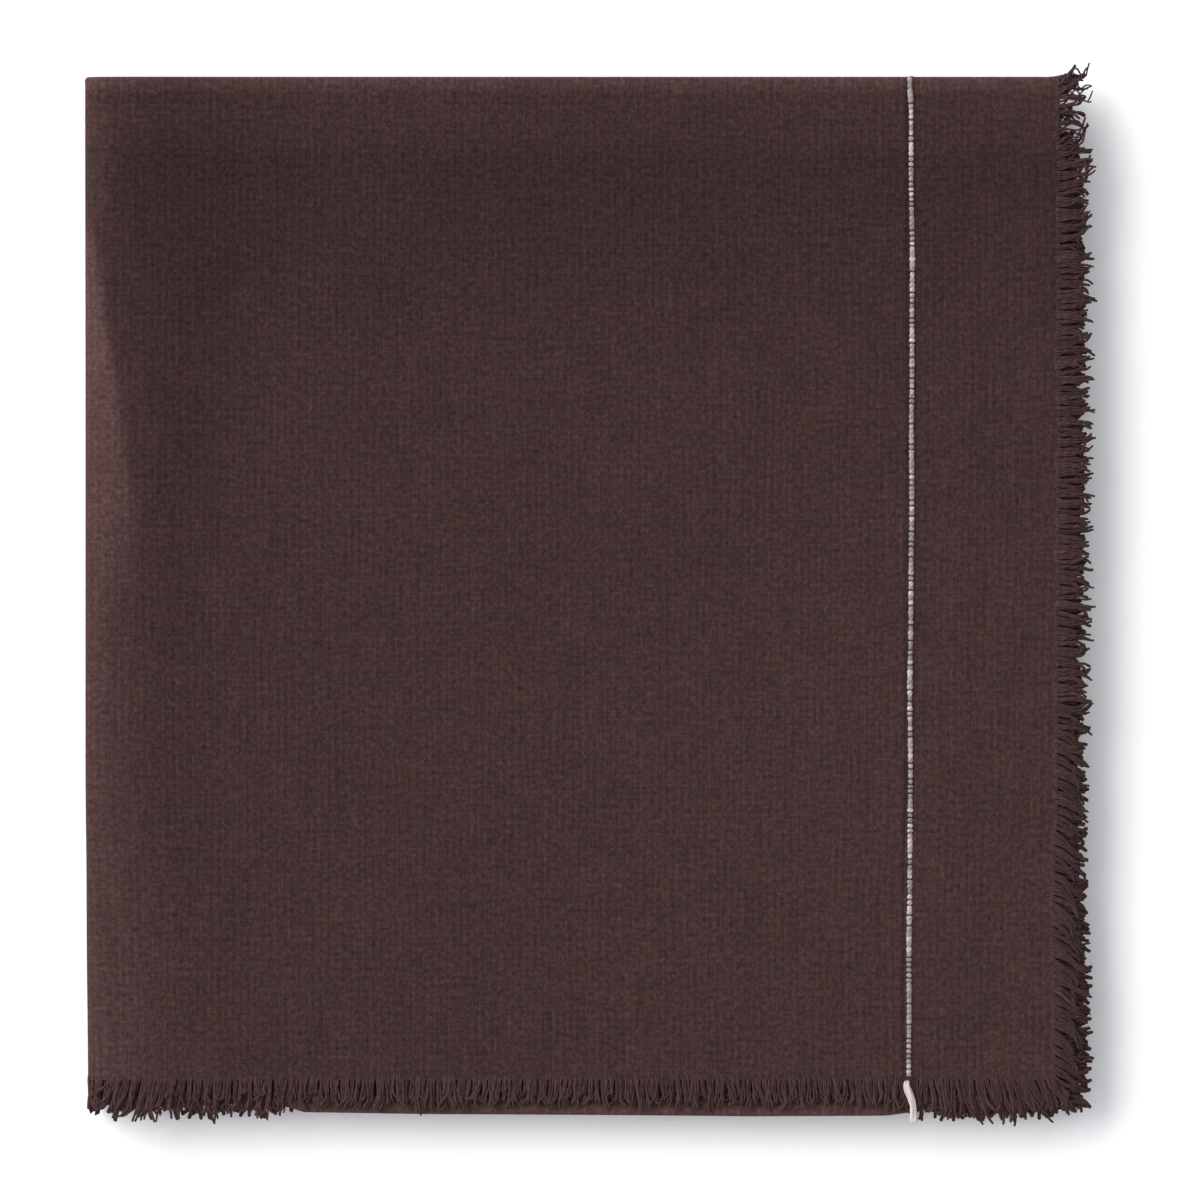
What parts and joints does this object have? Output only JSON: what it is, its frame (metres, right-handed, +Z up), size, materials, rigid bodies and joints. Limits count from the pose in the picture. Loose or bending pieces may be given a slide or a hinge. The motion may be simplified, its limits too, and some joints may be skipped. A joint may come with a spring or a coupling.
{
  "type": "folded tablecloth",
  "caption": "Fringed woven tablecloth with one contrasting stripe, folded in half twice each way into a flat, nearly square pack that lies on a surface.",
  "frame": {"origin": "middle of the pack's footprint, on the surface that it lies on", "axes": "+Z up; +X towards the side with the fringe; +Y towards the end fold, so the fringed end is at -Y"},
  "size_m": [0.3664, 0.3794, 0.0219],
  "materials": {
    "brown_cloth": "matt, coarse woven cotton yarn in a dark red-brown, with a fine rib",
    "cream_yarn": "matt, off-white cotton yarn"
  },
  "bodies": {
    "root": {"cloth": "brown_cloth", "fringe_end_upper": "brown_cloth", "fringe_end_inner": "brown_cloth", "fringe_side_upper": "brown_cloth", "fringe_side_inner": "brown_cloth", "stripe_tail_upper": "cream_yarn", "stripe_tail_inner": "cream_yarn"}
  },
  "joints": []
}
